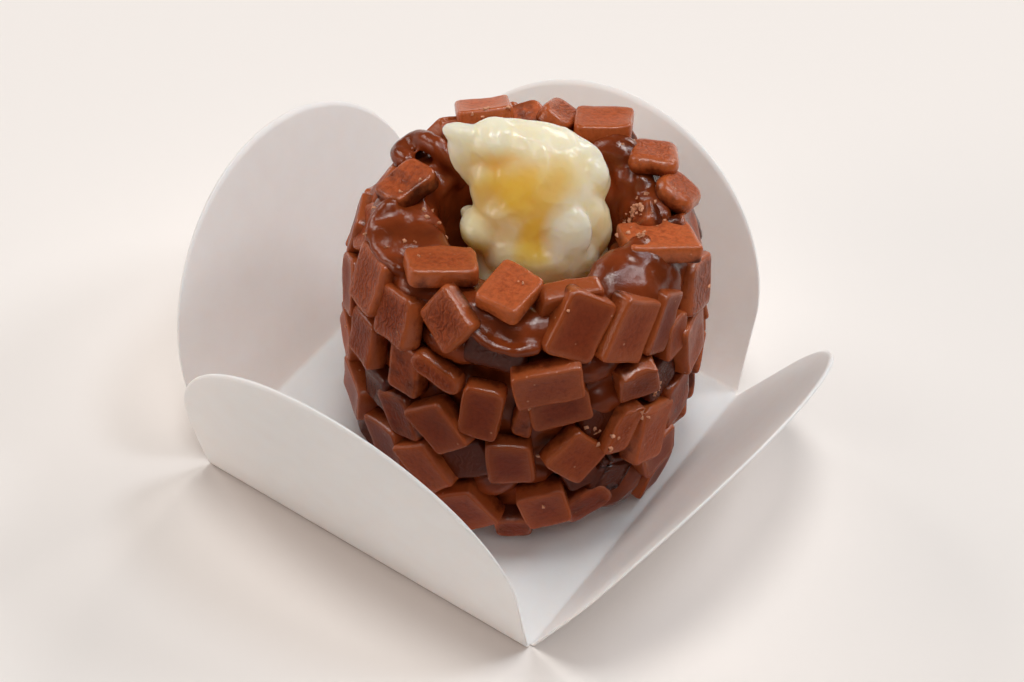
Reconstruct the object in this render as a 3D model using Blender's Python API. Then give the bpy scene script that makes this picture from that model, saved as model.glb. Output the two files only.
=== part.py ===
# A brigadeiro in its paper case: a barrel of chocolate fudge coated in blocks of milk chocolate,
# with a soft cream filling heaped in the hole in its top, on a square of card whose four
# round-topped petals are folded up around it.
# Units are metres and +Z is up. The origin is the middle of the underside of the case's floor,
# and X and Y run along that floor's sides.

import math
import random

import bmesh
import bpy
from mathutils import Matrix, Vector, noise

MM = 0.001

# Paper case
CASE_SIDE = 35 * MM            # square floor, from fold to fold
CARD = 0.3 * MM                # thickness of the card
FOLD_RADIUS = 0.5 * MM         # bend at each fold, at the middle of the card
PETAL_SIDE = 9.1 * MM          # straight edge of a petal above its fold
PETAL_HEIGHT = 24.5 * MM       # from the fold to the top of the petal's arch
PETAL_COLUMNS = 18
PETAL_ROWS = 4
# Each petal: the way it faces (degrees round from -Y towards +X), its lean above the floor at the
# fold, how much steeper it gets by its top, how far its middle bows out, and how far one edge
# stands further out than the other.
PETALS = (
    {"faces": 0, "lean": 75, "closes": 9, "bow": 0.6 * MM, "twist": -0.1 * MM},
    {"faces": 90, "lean": 60.5, "closes": 1, "bow": 0.3 * MM, "twist": -1.2 * MM},
    {"faces": 180, "lean": 81, "closes": -13, "bow": 0.6 * MM, "twist": -0.9 * MM},
    {"faces": 270, "lean": 77.5, "closes": -8, "bow": 0.3 * MM, "twist": 0.7 * MM},
)

# Fudge barrel, which stands a little to the back right of the case and leans slightly forward
GAP = 0.3 * MM                 # clearance between neighbouring solids
BARREL_CENTRE = Vector((2.4, 2.2, 0)) * MM
BARREL_HEIGHT = 31 * MM        # over the blocks at the rim
BARREL_LEAN = Vector((1.3, -1.3, 0)) * MM    # shift of the top against the base
# Radius and height in mm along the outside of the fudge, from under the base, up the side, over
# the rim and down the wall of the hole.
FUDGE_OUTLINE = (
    (11.2, 0), (13.1, 1.2), (14.2, 4.5), (14.7, 12), (14.6, 18), (14.1, 23),
    (12.9, 26.5), (11.0, 28.5), (9.3, 28.8), (8.1, 27.6), (7.8, 24.5), (7.6, 17),
)
HOLE_DEPTH = 14 * MM           # below the rim
MOUTH_HEIGHTS = (22 * MM, 34 * MM)     # blocks are cut back from the hole between these
MOUTH_RADII = (7.4 * MM, 8.2 * MM)
OUTLINE_STEPS = 2              # mesh rows between two points of the outline
BARREL_SEGMENTS = 44
LUMP_SIZE = 7 * MM             # the fudge's unevenness: width and height of a lump
LUMP_HEIGHT = 0.45 * MM

# Chocolate blocks pressed into the fudge
BLOCK_PITCH = 5.5 * MM         # spacing round the barrel
COURSE_PITCH = 5.0 * MM        # spacing up the barrel
FIRST_COURSE = 3.4 * MM        # along the outline, from its start under the base
BLOCK_SIZE = (4.2 * MM, 5.4 * MM)    # shortest and longest side of a face
BLOCK_DEPTH = 3.2 * MM
BLOCK_PROUD = (0.8, 1.2, 1.2, 1.2, 1.2, 1.1, 0.8)    # mm out of the fudge, for each course
BLOCK_TURN = 40                # largest turn either way, in degrees
BLOCK_TILT = 9
# The blocks that make the rim's skyline, each with its angle round the barrel (degrees from -Y
# towards +X), its distance along the outline, its turn, its width, its length and how far it
# stands out of the fudge.
RIM_BLOCKS = (
    (-10, 32.0, 40, 6.2, 3.6, 1.4), (24, 32.0, -20, 4.2, 4.6, 2.2), (51, 28.6, -35, 4.5, 5.8, 1.4),
    (69, 27.0, -33, 4.2, 5.8, 1.4), (107, 31.3, 5, 4.5, 6.5, 1.6), (134, 30.0, 50, 5.2, 3.4, 2.1),
    (152, 30.8, 40, 5.2, 3.4, 2.2), (-177, 30.6, 0, 5.5, 4.8, 2.4), (-155, 31.4, -5, 3.6, 4.2, 2.0),
    (-124, 30.6, 5, 4.8, 3.2, 2.7), (-106, 31.0, 20, 3.4, 3.2, 1.4), (-66, 31.8, 40, 4.6, 4.0, 1.2),
)

# Cream filling: lobes of a heap that starts down in the hole, placed from the middle of the rim.
# Each has its place and its three radii in mm.
LOBES = (
    ((0.0, 0.0, -5.5), (7.3, 7.3, 7.4)),
    ((0.9, 0.2, -1.0), (6.2, 6.2, 5.6)),
    ((-2.0, 0.6, 4.0), (4.1, 4.0, 3.6)),
    ((-5.4, -1.3, 5.2), (2.3, 2.0, 1.6)),
    ((3.3, 2.1, 2.2), (3.4, 3.8, 3.7)),
    ((-0.2, -4.7, 0.6), (2.9, 2.6, 2.6)),
    ((0.4, 3.1, 2.8), (3.5, 3.4, 3.1)),
)
LOBE_MESH = 1.15 * MM          # edge length of the filling's mesh


def clear_scene():
    for obj in list(bpy.data.objects):
        bpy.data.objects.remove(obj, do_unlink=True)


def material(name, colour, roughness):
    made = bpy.data.materials.new(name)
    made.use_nodes = True
    shader = made.node_tree.nodes["Principled BSDF"]
    shader.inputs["Base Color"].default_value = (*colour, 1)
    shader.inputs["Roughness"].default_value = roughness
    shader.inputs["Metallic"].default_value = 0
    return made


def add_object(name, bm, finish):
    bmesh.ops.remove_doubles(bm, verts=bm.verts, dist=0.001 * MM)
    bmesh.ops.recalc_face_normals(bm, faces=bm.faces)
    mesh = bpy.data.meshes.new(name)
    bm.to_mesh(mesh)
    bm.free()
    mesh.shade_smooth()
    mesh.set_sharp_from_angle(angle=math.radians(35))
    obj = bpy.data.objects.new(name, mesh)
    obj.data.materials.append(finish)
    bpy.context.scene.collection.objects.link(obj)
    return obj


def add_helper(name, bm, finish):
    """An object that only a Boolean uses."""
    helper = add_object(name, bm, finish)
    helper.hide_render = True
    helper.display_type = "WIRE"
    return helper


# Paper case

def petal_top(along):
    """How far up the petal its edge lies, for a place along the fold."""
    arch = math.sqrt(max(0, 1 - (2 * along / CASE_SIDE) ** 2))
    return PETAL_SIDE + (PETAL_HEIGHT - PETAL_SIDE) * arch


def petal_point(petal, along, up):
    """The point of the card at a distance along the fold and a distance up the petal."""
    lean = math.radians(petal["lean"])
    bend = FOLD_RADIUS * lean
    angle = min(up, bend) / FOLD_RADIUS
    out = FOLD_RADIUS * math.sin(angle)
    height = FOLD_RADIUS * (1 - math.cos(angle))
    if up > bend:
        curve = math.radians(petal["closes"]) / PETAL_HEIGHT
        angle = lean + curve * (up - bend)
        out += (math.sin(angle) - math.sin(lean)) / curve
        height += (math.cos(lean) - math.cos(angle)) / curve
        side = 2 * along / CASE_SIDE
        shift = (petal["bow"] * (1 - side ** 2) + petal["twist"] * side) * up / PETAL_HEIGHT
        out += shift * math.sin(angle)
        height -= shift * math.cos(angle)
    faces = math.radians(petal["faces"])
    outward = Vector((math.sin(faces), -math.cos(faces), 0))
    sideways = Vector((-math.cos(faces), -math.sin(faces), 0))
    return outward * (CASE_SIDE / 2 + out) + sideways * along + Vector((0, 0, height + CARD / 2))


def make_case(finish):
    bm = bmesh.new()
    floor = []
    for petal in PETALS:
        bend = FOLD_RADIUS * math.radians(petal["lean"])
        columns = []
        for i in range(PETAL_COLUMNS + 1):
            along = -CASE_SIDE / 2 * math.cos(math.pi * i / PETAL_COLUMNS)
            rise = petal_top(along) - bend
            ups = [0, bend / 2, bend] + [bend + rise * (j + 1) / PETAL_ROWS for j in range(PETAL_ROWS)]
            columns.append([bm.verts.new(petal_point(petal, along, up)) for up in ups])
        for left, right in zip(columns, columns[1:]):
            for j in range(len(left) - 1):
                bm.faces.new((left[j], right[j], right[j + 1], left[j + 1]))
        floor.append([column[0] for column in columns])
    # The floor has its own row of vertices along each fold, merged with the petals' below.
    border = [bm.verts.new(vert.co) for row in reversed(floor) for vert in row[:-1]]
    bm.faces.new(border)
    case = add_object("paper_case", bm, finish)
    card = case.modifiers.new("card", "SOLIDIFY")
    card.thickness = CARD
    card.offset = 0
    card.use_even_offset = True
    return case


# Brigadeiro

def smooth_line(points, steps):
    """A Catmull-Rom curve through points, with a number of steps between two of them."""
    line = []
    ends = [points[0] * 2 - points[1], *points, points[-1] * 2 - points[-2]]
    for a, b, c, d in zip(ends, ends[1:], ends[2:], ends[3:]):
        for i in range(steps):
            t = i / steps
            line.append(b + (c - a) * t / 2 + (a * 2 - b * 5 + c * 4 - d) * t ** 2 / 2
                        + (b * 3 - a - c * 3 + d) * t ** 3 / 2)
    return line + [points[-1]]


def fudge_line(steps):
    """The fudge's outline as points (radius, 0, height), standing clear of the case's floor."""
    base = CARD + GAP * 1.1
    return smooth_line([Vector((r * MM, 0, z * MM + base)) for r, z in FUDGE_OUTLINE], steps)


def leaning(point):
    """Moves a point of the upright barrel to its place in the case."""
    return point + BARREL_CENTRE + BARREL_LEAN * (point.z / BARREL_HEIGHT)


def skin_place(angle, distance, height):
    """Where a block sits: its frame's columns run round the barrel, up its skin and outwards."""
    line = fudge_line(12)
    for start, end in zip(line, line[1:]):
        if distance <= (end - start).length:
            break
        distance -= (end - start).length
    up = (end - start).normalized()
    place = start + up * distance
    outward = Vector((up.z, 0, -up.x))
    frame = Matrix((Vector((0, 1, 0)), up, outward)).transposed().to_4x4()
    frame.translation = place + outward * height
    # The outline lies towards +X, a quarter turn on from -Y.
    turned = Matrix.Rotation(math.radians(angle - 90), 4, "Z") @ frame
    turned.translation = leaning(turned.translation)
    return turned


def make_fudge(finish):
    bm = bmesh.new()
    line = fudge_line(OUTLINE_STEPS)
    line.insert(0, Vector((0, 0, line[0].z)))
    line.append(Vector((0, 0, max(p.z for p in line) - HOLE_DEPTH)))
    verts = [bm.verts.new(p) for p in line]
    edges = [bm.edges.new(pair) for pair in zip(verts, verts[1:])]
    bmesh.ops.spin(bm, geom=verts + edges, axis=(0, 0, 1), cent=(0, 0, 0),
                   steps=BARREL_SEGMENTS, angle=2 * math.pi, use_merge=True)
    hole = max(r for r, z in FUDGE_OUTLINE[-3:]) * MM
    for vert in bm.verts:
        flat = Vector((vert.co.x, vert.co.y, 0))
        if vert.co.z > line[0].z + 0.5 * MM and flat.length > hole:
            lump = noise.noise(vert.co / LUMP_SIZE) * LUMP_HEIGHT
            vert.co += (flat.normalized() + Vector((0, 0, vert.co.z / BARREL_HEIGHT))) * lump
        vert.co = leaning(vert.co)
    return add_object("brigadeiro", bm, finish)


def add_block(bm, place, turn, width, length):
    centre = Matrix.Translation((0, 0, -BLOCK_DEPTH / 2))
    size = Matrix.Diagonal((width, length, BLOCK_DEPTH, 1))
    turned = Matrix.Rotation(math.radians(turn), 4, "Z")
    bmesh.ops.create_cube(bm, size=1, matrix=place @ turned @ centre @ size)


def make_coat(finish):
    """All the blocks in one helper, which the fudge takes up by a union."""
    bm = bmesh.new()
    rng = random.Random(7)
    line = fudge_line(12)
    for course, proud in enumerate(BLOCK_PROUD):
        distance = FIRST_COURSE + COURSE_PITCH * course
        radius = skin_radius(line, distance)
        count = round(2 * math.pi * radius / BLOCK_PITCH)
        for i in range(count):
            angle = 360 * (i + course % 2 / 2 + rng.uniform(-0.15, 0.15)) / count
            place = skin_place(angle, distance + rng.uniform(-0.5, 0.5) * MM,
                               (proud + rng.uniform(-0.3, 0.2)) * MM)
            tilt = Matrix.Rotation(math.radians(rng.uniform(-BLOCK_TILT, BLOCK_TILT)), 4, "X")
            sides = sorted(rng.uniform(*BLOCK_SIZE) for side in range(2))
            if not near_rim_block(angle, distance):
                add_block(bm, place @ tilt, rng.uniform(-BLOCK_TURN, BLOCK_TURN), *sides)
    for angle, distance, turn, width, length, height in RIM_BLOCKS:
        add_block(bm, skin_place(angle, distance * MM, height * MM), turn, width * MM, length * MM)
    return add_helper("coat", bm, finish)


def skin_radius(line, distance):
    for start, end in zip(line, line[1:]):
        distance -= (end - start).length
        if distance <= 0:
            return end.x
    return line[-1].x


def near_rim_block(angle, distance):
    """Whether a block of the rim already covers this place."""
    for rim_angle, rim_distance, *rest in RIM_BLOCKS:
        apart = (angle - rim_angle + 180) % 360 - 180
        if abs(apart) < 18 and abs(distance - rim_distance * MM) < 4.5 * MM:
            return True
    return False


def make_trimmer(finish):
    """Cuts blocks back from the mouth of the hole and from the floor that the barrel stands on."""
    bm = bmesh.new()
    low, high = MOUTH_HEIGHTS
    middle = leaning(Vector((0, 0, high))) - Vector((0, 0, (high - low) / 2))
    bmesh.ops.create_cone(bm, cap_ends=True, segments=BARREL_SEGMENTS, radius1=MOUTH_RADII[0],
                          radius2=MOUTH_RADII[1], depth=high - low, matrix=Matrix.Translation(middle))
    slab = Matrix.Translation((0, 0, CARD + GAP - BLOCK_DEPTH)) @ Matrix.Diagonal(
        (2 * CASE_SIDE, 2 * CASE_SIDE, 2 * BLOCK_DEPTH, 1))
    bmesh.ops.create_cube(bm, size=1, matrix=slab)
    return add_helper("trimmer", bm, finish)


def make_brigadeiro(finish):
    fudge = make_fudge(finish)
    blocks = fudge.modifiers.new("blocks", "BOOLEAN")
    blocks.operation = "UNION"
    blocks.solver = "EXACT"
    blocks.use_self = True
    blocks.object = make_coat(finish)
    trim = fudge.modifiers.new("trim", "BOOLEAN")
    trim.operation = "DIFFERENCE"
    trim.solver = "EXACT"
    trim.object = make_trimmer(finish)
    return fudge


# Filling

def make_filling(finish):
    rim = leaning(Vector((0, 0, BARREL_HEIGHT - 1 * MM)))
    bm = bmesh.new()
    for place, radii in LOBES:
        lobe = Matrix.Translation(rim + Vector(place) * MM) @ Matrix.Diagonal((*(Vector(radii) * MM), 1))
        bmesh.ops.create_icosphere(bm, subdivisions=3, radius=1, matrix=lobe)
    filling = add_object("filling", bm, finish)
    join = filling.modifiers.new("join", "REMESH")
    join.mode = "VOXEL"
    join.voxel_size = LOBE_MESH
    join.use_smooth_shade = True
    soften = filling.modifiers.new("soften", "SMOOTH")
    soften.factor = 0.5
    soften.iterations = 3
    return filling


clear_scene()
make_case(material("white_card", (0.86, 0.82, 0.80), 0.6))
make_brigadeiro(material("chocolate", (0.16, 0.045, 0.02), 0.4))
make_filling(material("milk_cream", (0.80, 0.68, 0.36), 0.25))
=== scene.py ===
# A brigadeiro in its paper case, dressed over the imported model: a barrel of soft chocolate fudge
# set all round with small blocks of milk chocolate, a heap of condensed-milk cream in the hole in
# its top, and a square of white card folded up round it as four petals.
# Metres, +Z up. Angles round the barrel are in degrees from -Y towards +X. Distances up its skin
# are in mm, from under its base, up its side and over the rim into the hole.

import math
import random

import bmesh
import bpy
from mathutils import Matrix, Vector, noise
from mathutils.bvhtree import BVHTree


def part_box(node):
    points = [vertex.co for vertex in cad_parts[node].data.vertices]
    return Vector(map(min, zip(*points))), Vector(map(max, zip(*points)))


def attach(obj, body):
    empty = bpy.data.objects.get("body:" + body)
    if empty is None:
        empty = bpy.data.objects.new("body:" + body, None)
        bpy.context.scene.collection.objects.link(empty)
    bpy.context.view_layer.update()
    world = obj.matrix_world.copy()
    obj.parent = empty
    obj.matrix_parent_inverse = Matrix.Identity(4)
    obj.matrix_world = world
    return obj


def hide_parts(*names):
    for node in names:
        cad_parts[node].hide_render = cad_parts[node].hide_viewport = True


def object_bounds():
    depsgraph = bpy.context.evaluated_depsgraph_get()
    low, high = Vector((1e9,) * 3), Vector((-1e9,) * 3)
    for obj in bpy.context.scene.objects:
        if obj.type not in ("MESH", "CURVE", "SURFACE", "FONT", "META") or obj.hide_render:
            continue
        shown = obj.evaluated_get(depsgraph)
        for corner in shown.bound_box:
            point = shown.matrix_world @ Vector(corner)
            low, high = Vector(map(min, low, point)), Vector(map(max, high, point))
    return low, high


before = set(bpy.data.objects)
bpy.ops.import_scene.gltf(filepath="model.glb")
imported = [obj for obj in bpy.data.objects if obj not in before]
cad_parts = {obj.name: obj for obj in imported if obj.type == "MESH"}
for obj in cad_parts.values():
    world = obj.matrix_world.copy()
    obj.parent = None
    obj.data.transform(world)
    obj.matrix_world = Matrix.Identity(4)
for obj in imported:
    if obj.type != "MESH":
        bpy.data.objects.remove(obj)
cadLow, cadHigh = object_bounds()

mm = 0.001


# Shared helpers

def srgb(text):    # a hex colour as linear RGBA
    parts = [int(text[i:i + 2], 16) / 255 for i in (0, 2, 4)]
    return (*[c / 12.92 if c <= 0.04045 else ((c + 0.055) / 1.055) ** 2.4 for c in parts], 1)


def newMaterial(name):
    material = bpy.data.materials.new(name)
    material.use_nodes = True
    return material, material.node_tree.nodes["Principled BSDF"]


def addNode(material, kind, settings=None, inputs=None):
    node = material.node_tree.nodes.new(kind)
    for name, value in (settings or {}).items():
        setattr(node, name, value)
    for name, value in (inputs or {}).items():
        if isinstance(value, bpy.types.NodeSocket):
            material.node_tree.links.new(value, node.inputs[name])
        else:
            node.inputs[name].default_value = value
    return node


def connect(material, output, target):
    material.node_tree.links.new(output, target)


def addPiece(name, bm, material, slot, *nodes):
    mesh = bpy.data.meshes.new(name)
    bm.to_mesh(mesh)
    bm.free()
    mesh.shade_smooth()
    mesh.materials.append(material)
    piece = bpy.data.objects.new(name, mesh)
    bpy.context.scene.collection.objects.link(piece)
    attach(piece, "root")
    if nodes:
        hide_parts(*nodes)
    return piece


def remeshed(bm, voxel, softening):    # shells that run into each other become one soft skin
    mesh = bpy.data.meshes.new("shells")
    bm.to_mesh(mesh)
    bm.free()
    shells = bpy.data.objects.new("shells", mesh)
    bpy.context.scene.collection.objects.link(shells)
    join = shells.modifiers.new("join", "REMESH")
    join.mode = "VOXEL"
    join.voxel_size = voxel
    soften = shells.modifiers.new("soften", "SMOOTH")
    soften.factor = 0.5
    soften.iterations = softening
    graph = bpy.context.evaluated_depsgraph_get()
    result = bmesh.new()
    result.from_object(shells, graph)
    bpy.data.objects.remove(shells)
    bpy.data.meshes.remove(mesh)
    return result


def ellipsoid(bm, place, radii, detail=3):
    size = Matrix.Diagonal((*radii, 1))
    return bmesh.ops.create_icosphere(bm, subdivisions=detail, radius=1, matrix=place @ size)["verts"]


def turnAbout(axis, degrees):
    return Matrix.Rotation(math.radians(degrees), 4, axis)


def smoothLine(points, steps):    # a Catmull-Rom curve, with its tangents from the neighbours
    line = []
    ends = [points[0] * 2 - points[1], *points, points[-1] * 2 - points[-2]]
    for a, b, c, d in zip(ends, ends[1:], ends[2:], ends[3:]):
        for i in range(steps):
            t = i / steps
            line.append(b + (c - a) * t / 2 + (a * 2 - b * 5 + c * 4 - d) * t ** 2 / 2
                        + (b * 3 - a - c * 3 + d) * t ** 3 / 2)
    return line + [points[-1]]


# The barrel's own shape, which the fudge and the blocks share

barrel = {
    "height": 31 * mm,             # over the blocks at the rim
    "lean": Vector((1.3, -1.3, 0)) * mm,    # its top stands forward of its base by this
    # Radius and height in mm along the blocks' outer faces, and on down the wall of the hole.
    "skin": ((12.6, 0), (14.6, 1.2), (15.5, 4), (15.9, 9), (16, 14), (15.9, 19), (15.4, 23.5),
             (14.6, 27), (13.2, 29.6), (11.2, 30.9), (9.2, 30.6), (8.2, 29.2), (7.8, 25), (7.7, 18)),
    # The same for the fudge, which is deeper in.
    "fudge": ((11.0, 0.6), (12.6, 1.8), (13.4, 5.1), (13.8, 12.6), (13.7, 18.6), (13.2, 23.6),
              (12.3, 27.0), (10.8, 28.9), (9.4, 29.2), (8.1, 28.2), (7.8, 25.1), (7.6, 17.6)),
    "holeDepth": 14 * mm,
}
barrelLow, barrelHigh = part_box("brigadeiro")
barrelMiddle = (barrelLow + barrelHigh - barrel["lean"]) / 2 + Vector((0.2, 0.05, 0)) * mm
barrelMiddle.z = 0


def lineOf(name, steps):
    return smoothLine([Vector((r, 0, z)) * mm for r, z in barrel[name]], steps)


def leaning(point):    # from the upright barrel to its place in the case
    return point + barrelMiddle + barrel["lean"] * (point.z / barrel["height"])


skinLine = lineOf("skin", 12)


def onSkin(angle, distance, rise=0):    # a frame whose axes run round the barrel, up it and outwards
    left = distance * mm
    for start, end in zip(skinLine, skinLine[1:]):
        if left <= (end - start).length:
            break
        left -= (end - start).length
    up = (end - start).normalized()
    outward = Vector((up.z, 0, -up.x))
    placed = Matrix((Vector((0, 1, 0)), up, outward)).transposed().to_4x4()
    placed.translation = start + up * left + outward * rise * mm
    placed = turnAbout("Z", angle - 90) @ placed    # the line lies towards +X, a quarter turn on
    placed.translation = leaning(placed.translation)
    return placed


# Paper case

case = {
    "side": 35 * mm,               # square floor, from fold to fold
    "card": 0.21 * mm,
    "foldRadius": 0.5 * mm,
    "petalSide": 9.1 * mm,         # straight edge above the fold
    "petalHeight": 24.5 * mm,
    "columns": 72,
    "rows": 40,
    # Each petal: the way it faces, its lean at the fold, how much it closes by its top, how far
    # its middle bows out and how far one edge stands out beyond the other.
    "petals": ((0, 75, 9, 0.6, -0.1), (90, 60.5, 1, 0.3, -1.2), (180, 81, -13, 0.6, -0.9),
               (270, 77.5, -8, 0.3, 0.7)),
}


def petalTop(along):
    arch = math.sqrt(max(0, 1 - (2 * along / case["side"]) ** 2))
    return case["petalSide"] + (case["petalHeight"] - case["petalSide"]) * arch


def petalPoint(petal, along, up):
    faces, lean, closes, bow, twist = petal
    lean = math.radians(lean)
    radius = case["foldRadius"]
    bend = radius * lean
    angle = min(up, bend) / radius
    out = radius * math.sin(angle)
    height = radius * (1 - math.cos(angle))
    if up > bend:
        curve = math.radians(closes) / case["petalHeight"]
        angle = lean + curve * (up - bend)
        out += (math.sin(angle) - math.sin(lean)) / curve
        height += (math.cos(lean) - math.cos(angle)) / curve
        side = 2 * along / case["side"]
        shift = (bow * (1 - side ** 2) + twist * side) * mm * up / case["petalHeight"]
        out += shift * math.sin(angle)
        height -= shift * math.cos(angle)
    way = math.radians(faces)
    outward = Vector((math.sin(way), -math.cos(way), 0))
    sideways = Vector((-math.cos(way), -math.sin(way), 0))
    return (outward * (case["side"] / 2 + out) + sideways * along
            + Vector((0, 0, height + case["card"] / 2)))


def makeCard():
    # Machine-finished white card: bright, matt and faintly warm, with a cloudy formation, fine
    # fibres that show as grain, and a whiter cut edge.
    card, shader = newMaterial("white matt card")
    place = addNode(card, "ShaderNodeTexCoord").outputs["Object"]
    cloud = addNode(card, "ShaderNodeTexNoise", {}, {"Vector": place, "Scale": 1 / (2.5 * mm), "Detail": 4})
    fibres = addNode(card, "ShaderNodeTexNoise", {}, {"Vector": place, "Scale": 1 / (0.35 * mm), "Detail": 3,
                                                      "Roughness": 0.6})
    tone = addNode(card, "ShaderNodeMix", {"data_type": "RGBA"}, {0: cloud.outputs["Fac"], 6: srgb("FBF1ED"),
                                                                  7: srgb("FFF9F6")})
    bump = addNode(card, "ShaderNodeBump", {}, {"Height": fibres.outputs["Fac"], "Strength": 0.25,
                                                "Distance": 0.03 * mm})
    connect(card, tone.outputs[2], shader.inputs["Base Color"])
    connect(card, bump.outputs["Normal"], shader.inputs["Normal"])
    shader.inputs["Roughness"].default_value = 0.6
    shader.inputs["Specular IOR Level"].default_value = 0.35
    shader.inputs["Subsurface Weight"].default_value = 0.9    # light shows through the thin card
    shader.inputs["Subsurface Radius"].default_value = (1.0, 0.84, 0.77)
    shader.inputs["Subsurface Scale"].default_value = 0.6 * mm
    return card


def makeCase():
    bm = bmesh.new()
    columns, rows = case["columns"], case["rows"]
    half = case["side"] / 2
    foldRows = 6
    for petal in case["petals"]:
        bend = case["foldRadius"] * math.radians(petal[1])
        sheet = bmesh.ops.create_grid(bm, x_segments=columns, y_segments=rows, size=1)["verts"]
        for vert in sheet:
            along = half * math.sin(vert.co.x * math.pi / 2)
            row = (vert.co.y + 1) / 2 * rows
            rise = petalTop(along) - bend
            if row <= foldRows:
                up = bend * row / foldRows
            else:
                up = bend + rise * (row - foldRows) / (rows - foldRows)
            vert.co = petalPoint(petal, along, up)
    for vert in bmesh.ops.create_grid(bm, x_segments=columns, y_segments=columns, size=1)["verts"]:
        x, y = (half * math.sin(c * math.pi / 2) for c in vert.co.xy)
        vert.co = Vector((x, y, case["card"] / 2))
    bmesh.ops.remove_doubles(bm, verts=bm.verts, dist=0.001 * mm)
    bmesh.ops.recalc_face_normals(bm, faces=bm.faces)
    piece = addPiece("paperCase", bm, makeCard(), "white_card", "paper_case")
    card = piece.modifiers.new("card", "SOLIDIFY")
    card.thickness = case["card"]
    card.offset = 0
    card.use_even_offset = True
    print("paper case made")
    return piece


# Chocolate blocks

block = {
    "thickness": 1.9,              # mm, as the other sizes here
    "edge": 0.3,                  # rounding of the edges round each face
    "corner": 0.55,                # rounding of its four corners, seen from above
    "skew": 0.06,                  # how far off square a face may be, as a share of its side
    "dent": 0.12,                  # how deep a face dips between its edges
    "wobble": 0.14,
    "wobbleSize": 2.0,
    "wornLitWidth": 0.9,                   # how far in from its edges a face is made lighter, partly wear and partly a painted highlight
    "cuts": (9, 9, 5),
    # How much wet fudge clings to a block, how wrinkled its face is, how ragged its top end and
    # how far its edges have melted round.
    "finishes": {"clean": (0.05, 0, 0, 0), "dry": (-1, 0, 0, 0), "sticky": (0.35, 0.2, 0, 0.3),
                 "coated": (0.8, 0.3, 0, 0.6), "wrinkled": (0.1, 1, 0, 0.3), "broken": (0.1, 0.3, 0.7, 0),
                 "melted": (0.1, 0.6, 0, 1)},
    "paintedLightTones": (0.05, 0.65),           # how much lighter a block on the side and one on top may be: painted shade on the side, painted light on top
    "raggedSize": 0.7,
    "ragged": 0.5,
}
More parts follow.
